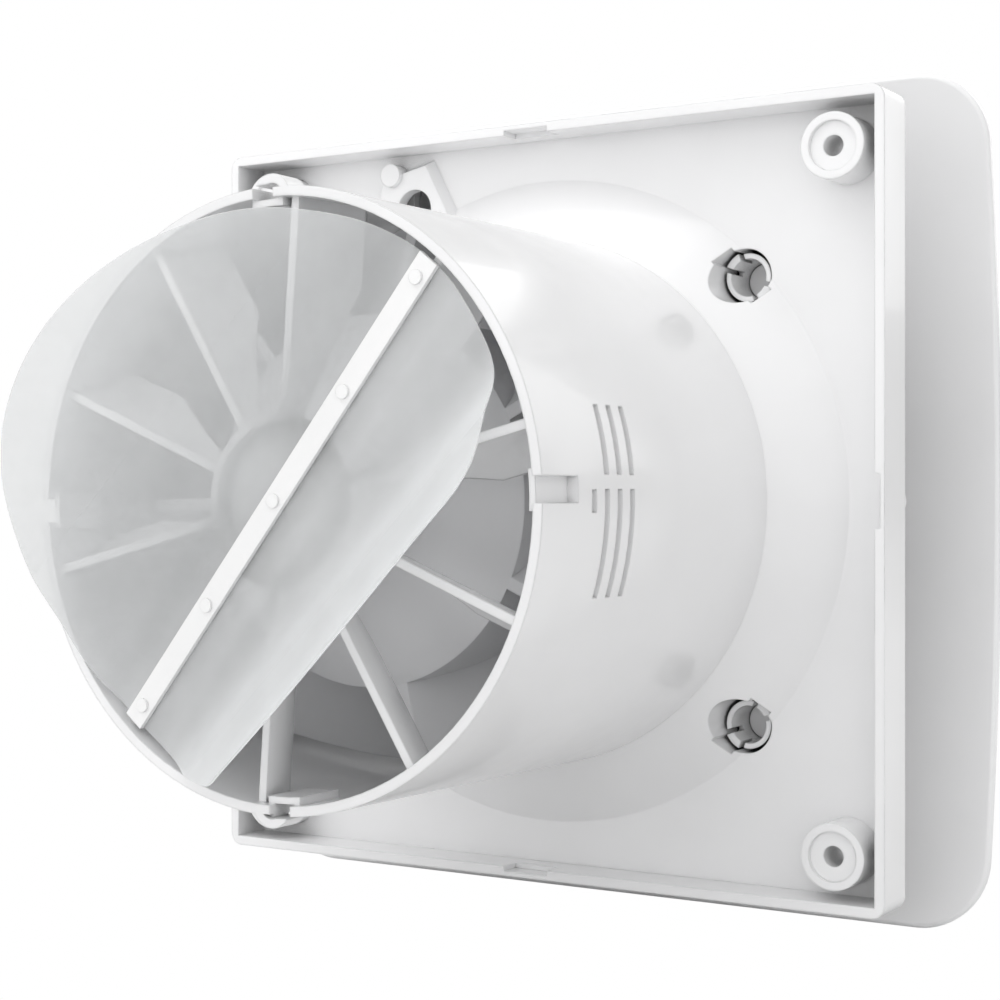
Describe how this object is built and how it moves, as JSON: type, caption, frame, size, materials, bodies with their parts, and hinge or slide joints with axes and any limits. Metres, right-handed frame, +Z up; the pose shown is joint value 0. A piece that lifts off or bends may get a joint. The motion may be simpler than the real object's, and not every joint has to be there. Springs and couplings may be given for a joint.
{
  "type": "bathroom extractor fan",
  "caption": "Axial wall extractor fan with a square tray, round duct spigot with guide vanes, a film backdraught valve and a bowed stand-off front panel.",
  "frame": {"origin": "on the spigot's axis, in the plane of the tray edges that stand against the wall", "axes": "+Y along the spigot's axis into the duct, +Z up, the room on the -Y side"},
  "size_m": [0.16, 0.1406, 0.158],
  "materials": {
    "casing_white": "glossy moulded ABS",
    "panel_white": "glossy moulded ABS",
    "valve_white": "glossy moulded plastic",
    "impeller_white": "satin moulded plastic",
    "film": "thin translucent film",
    "spider_white": "satin moulded plastic",
    "spring_steel": "bright",
    "shaft_steel": "ground",
    "core_steel": "laminated",
    "shell_steel": "zinc plated",
    "screw_steel": "zinc plated",
    "winding": "enamelled copper wire",
    "rubber": "matt",
    "block_plastic": "matt",
    "terminal_brass": "bright",
    "lead_insulation": "matt"
  },
  "bodies": {
    "housing": {"box_lid": "casing_white", "cable_clamp": "spider_white", "casing": "casing_white", "clamp_screws": "screw_steel", "film_clamped_strip": "film", "foot_screws": "screw_steel", "front_bearing": "shaft_steel", "lid_screw": "screw_steel", "motor_leads": "lead_insulation", "motor_shell_front": "shell_steel", "motor_shell_rear": "shell_steel", "motor_spider": "spider_white", "mount_screws": "screw_steel", "rear_bearing": "shaft_steel", "rubber_mounts": "rubber", "stator_coils": "winding", "stator_core": "core_steel", "terminal_block": "block_plastic", "terminal_screws": "terminal_brass", "tie_screws": "screw_steel", "valve_bar": "valve_white", "valve_pins": "valve_white"},
    "rotor": {"impeller": "impeller_white", "impeller_clip": "spring_steel", "motor_shaft": "shaft_steel", "rotor_core": "core_steel"},
    "front_panel": {"front_panel": "panel_white"},
    "left_flap_root": {"left_flap_root": "film"},
    "left_flap_middle": {"left_flap_middle": "film"},
    "left_flap_tip": {"left_flap_tip": "film"},
    "right_flap_root": {"right_flap_root": "film"},
    "right_flap_middle": {"right_flap_middle": "film"},
    "right_flap_tip": {"right_flap_tip": "film"}
  },
  "joints": [
    {"name": "impeller_spin", "type": "hinge", "parent": "housing", "child": "rotor", "pos_m": [0, 0, 0], "axis": [0, 1, 0], "continuous": true},
    {"name": "front_panel_slide", "type": "slide", "parent": "housing", "child": "front_panel", "axis": [0, -1, 0], "range_m": [0, 0.03]},
    {"name": "left_flap_root_bend", "type": "hinge", "parent": "housing", "child": "left_flap_root", "pos_m": [0.00179, 0.07575, 0.00145], "axis": [-0.6286, 0, 0.7777], "range_deg": [-16.7, 5]},
    {"name": "left_flap_middle_bend", "type": "hinge", "parent": "left_flap_root", "child": "left_flap_middle", "pos_m": [0.01044, 0.07951, 0.0107], "axis": [-0.7089, -0.0325, 0.7045], "range_deg": [-18.32, 5.5]},
    {"name": "left_flap_tip_bend", "type": "hinge", "parent": "left_flap_middle", "child": "left_flap_tip", "pos_m": [0.01977, 0.08895, 0.02051], "axis": [-0.7089, -0.0325, 0.7045], "range_deg": [-17.22, 5.17]},
    {"name": "right_flap_root_bend", "type": "hinge", "parent": "housing", "child": "right_flap_root", "pos_m": [-0.00179, 0.07575, -0.00145], "axis": [0.6286, 0, -0.7777], "range_deg": [-9, 3]},
    {"name": "right_flap_middle_bend", "type": "hinge", "parent": "right_flap_root", "child": "right_flap_middle", "pos_m": [-0.01075, 0.0778, -0.01094], "axis": [0.7116, -0.0177, -0.7024], "range_deg": [-30.32, 10.12]},
    {"name": "right_flap_tip_bend", "type": "hinge", "parent": "right_flap_middle", "child": "right_flap_tip", "pos_m": [-0.01959, 0.08824, -0.02017], "axis": [0.7116, -0.0177, -0.7024], "range_deg": [-23.32, 7.79]}
  ],
  "couplings": [
    {"joint": "left_flap_middle_bend", "follows": "left_flap_root_bend", "ratio": 1.0958},
    {"joint": "left_flap_tip_bend", "follows": "left_flap_root_bend", "ratio": 1.0299},
    {"joint": "right_flap_middle_bend", "follows": "right_flap_root_bend", "ratio": 3.3667},
    {"joint": "right_flap_tip_bend", "follows": "right_flap_root_bend", "ratio": 2.5889}
  ]
}
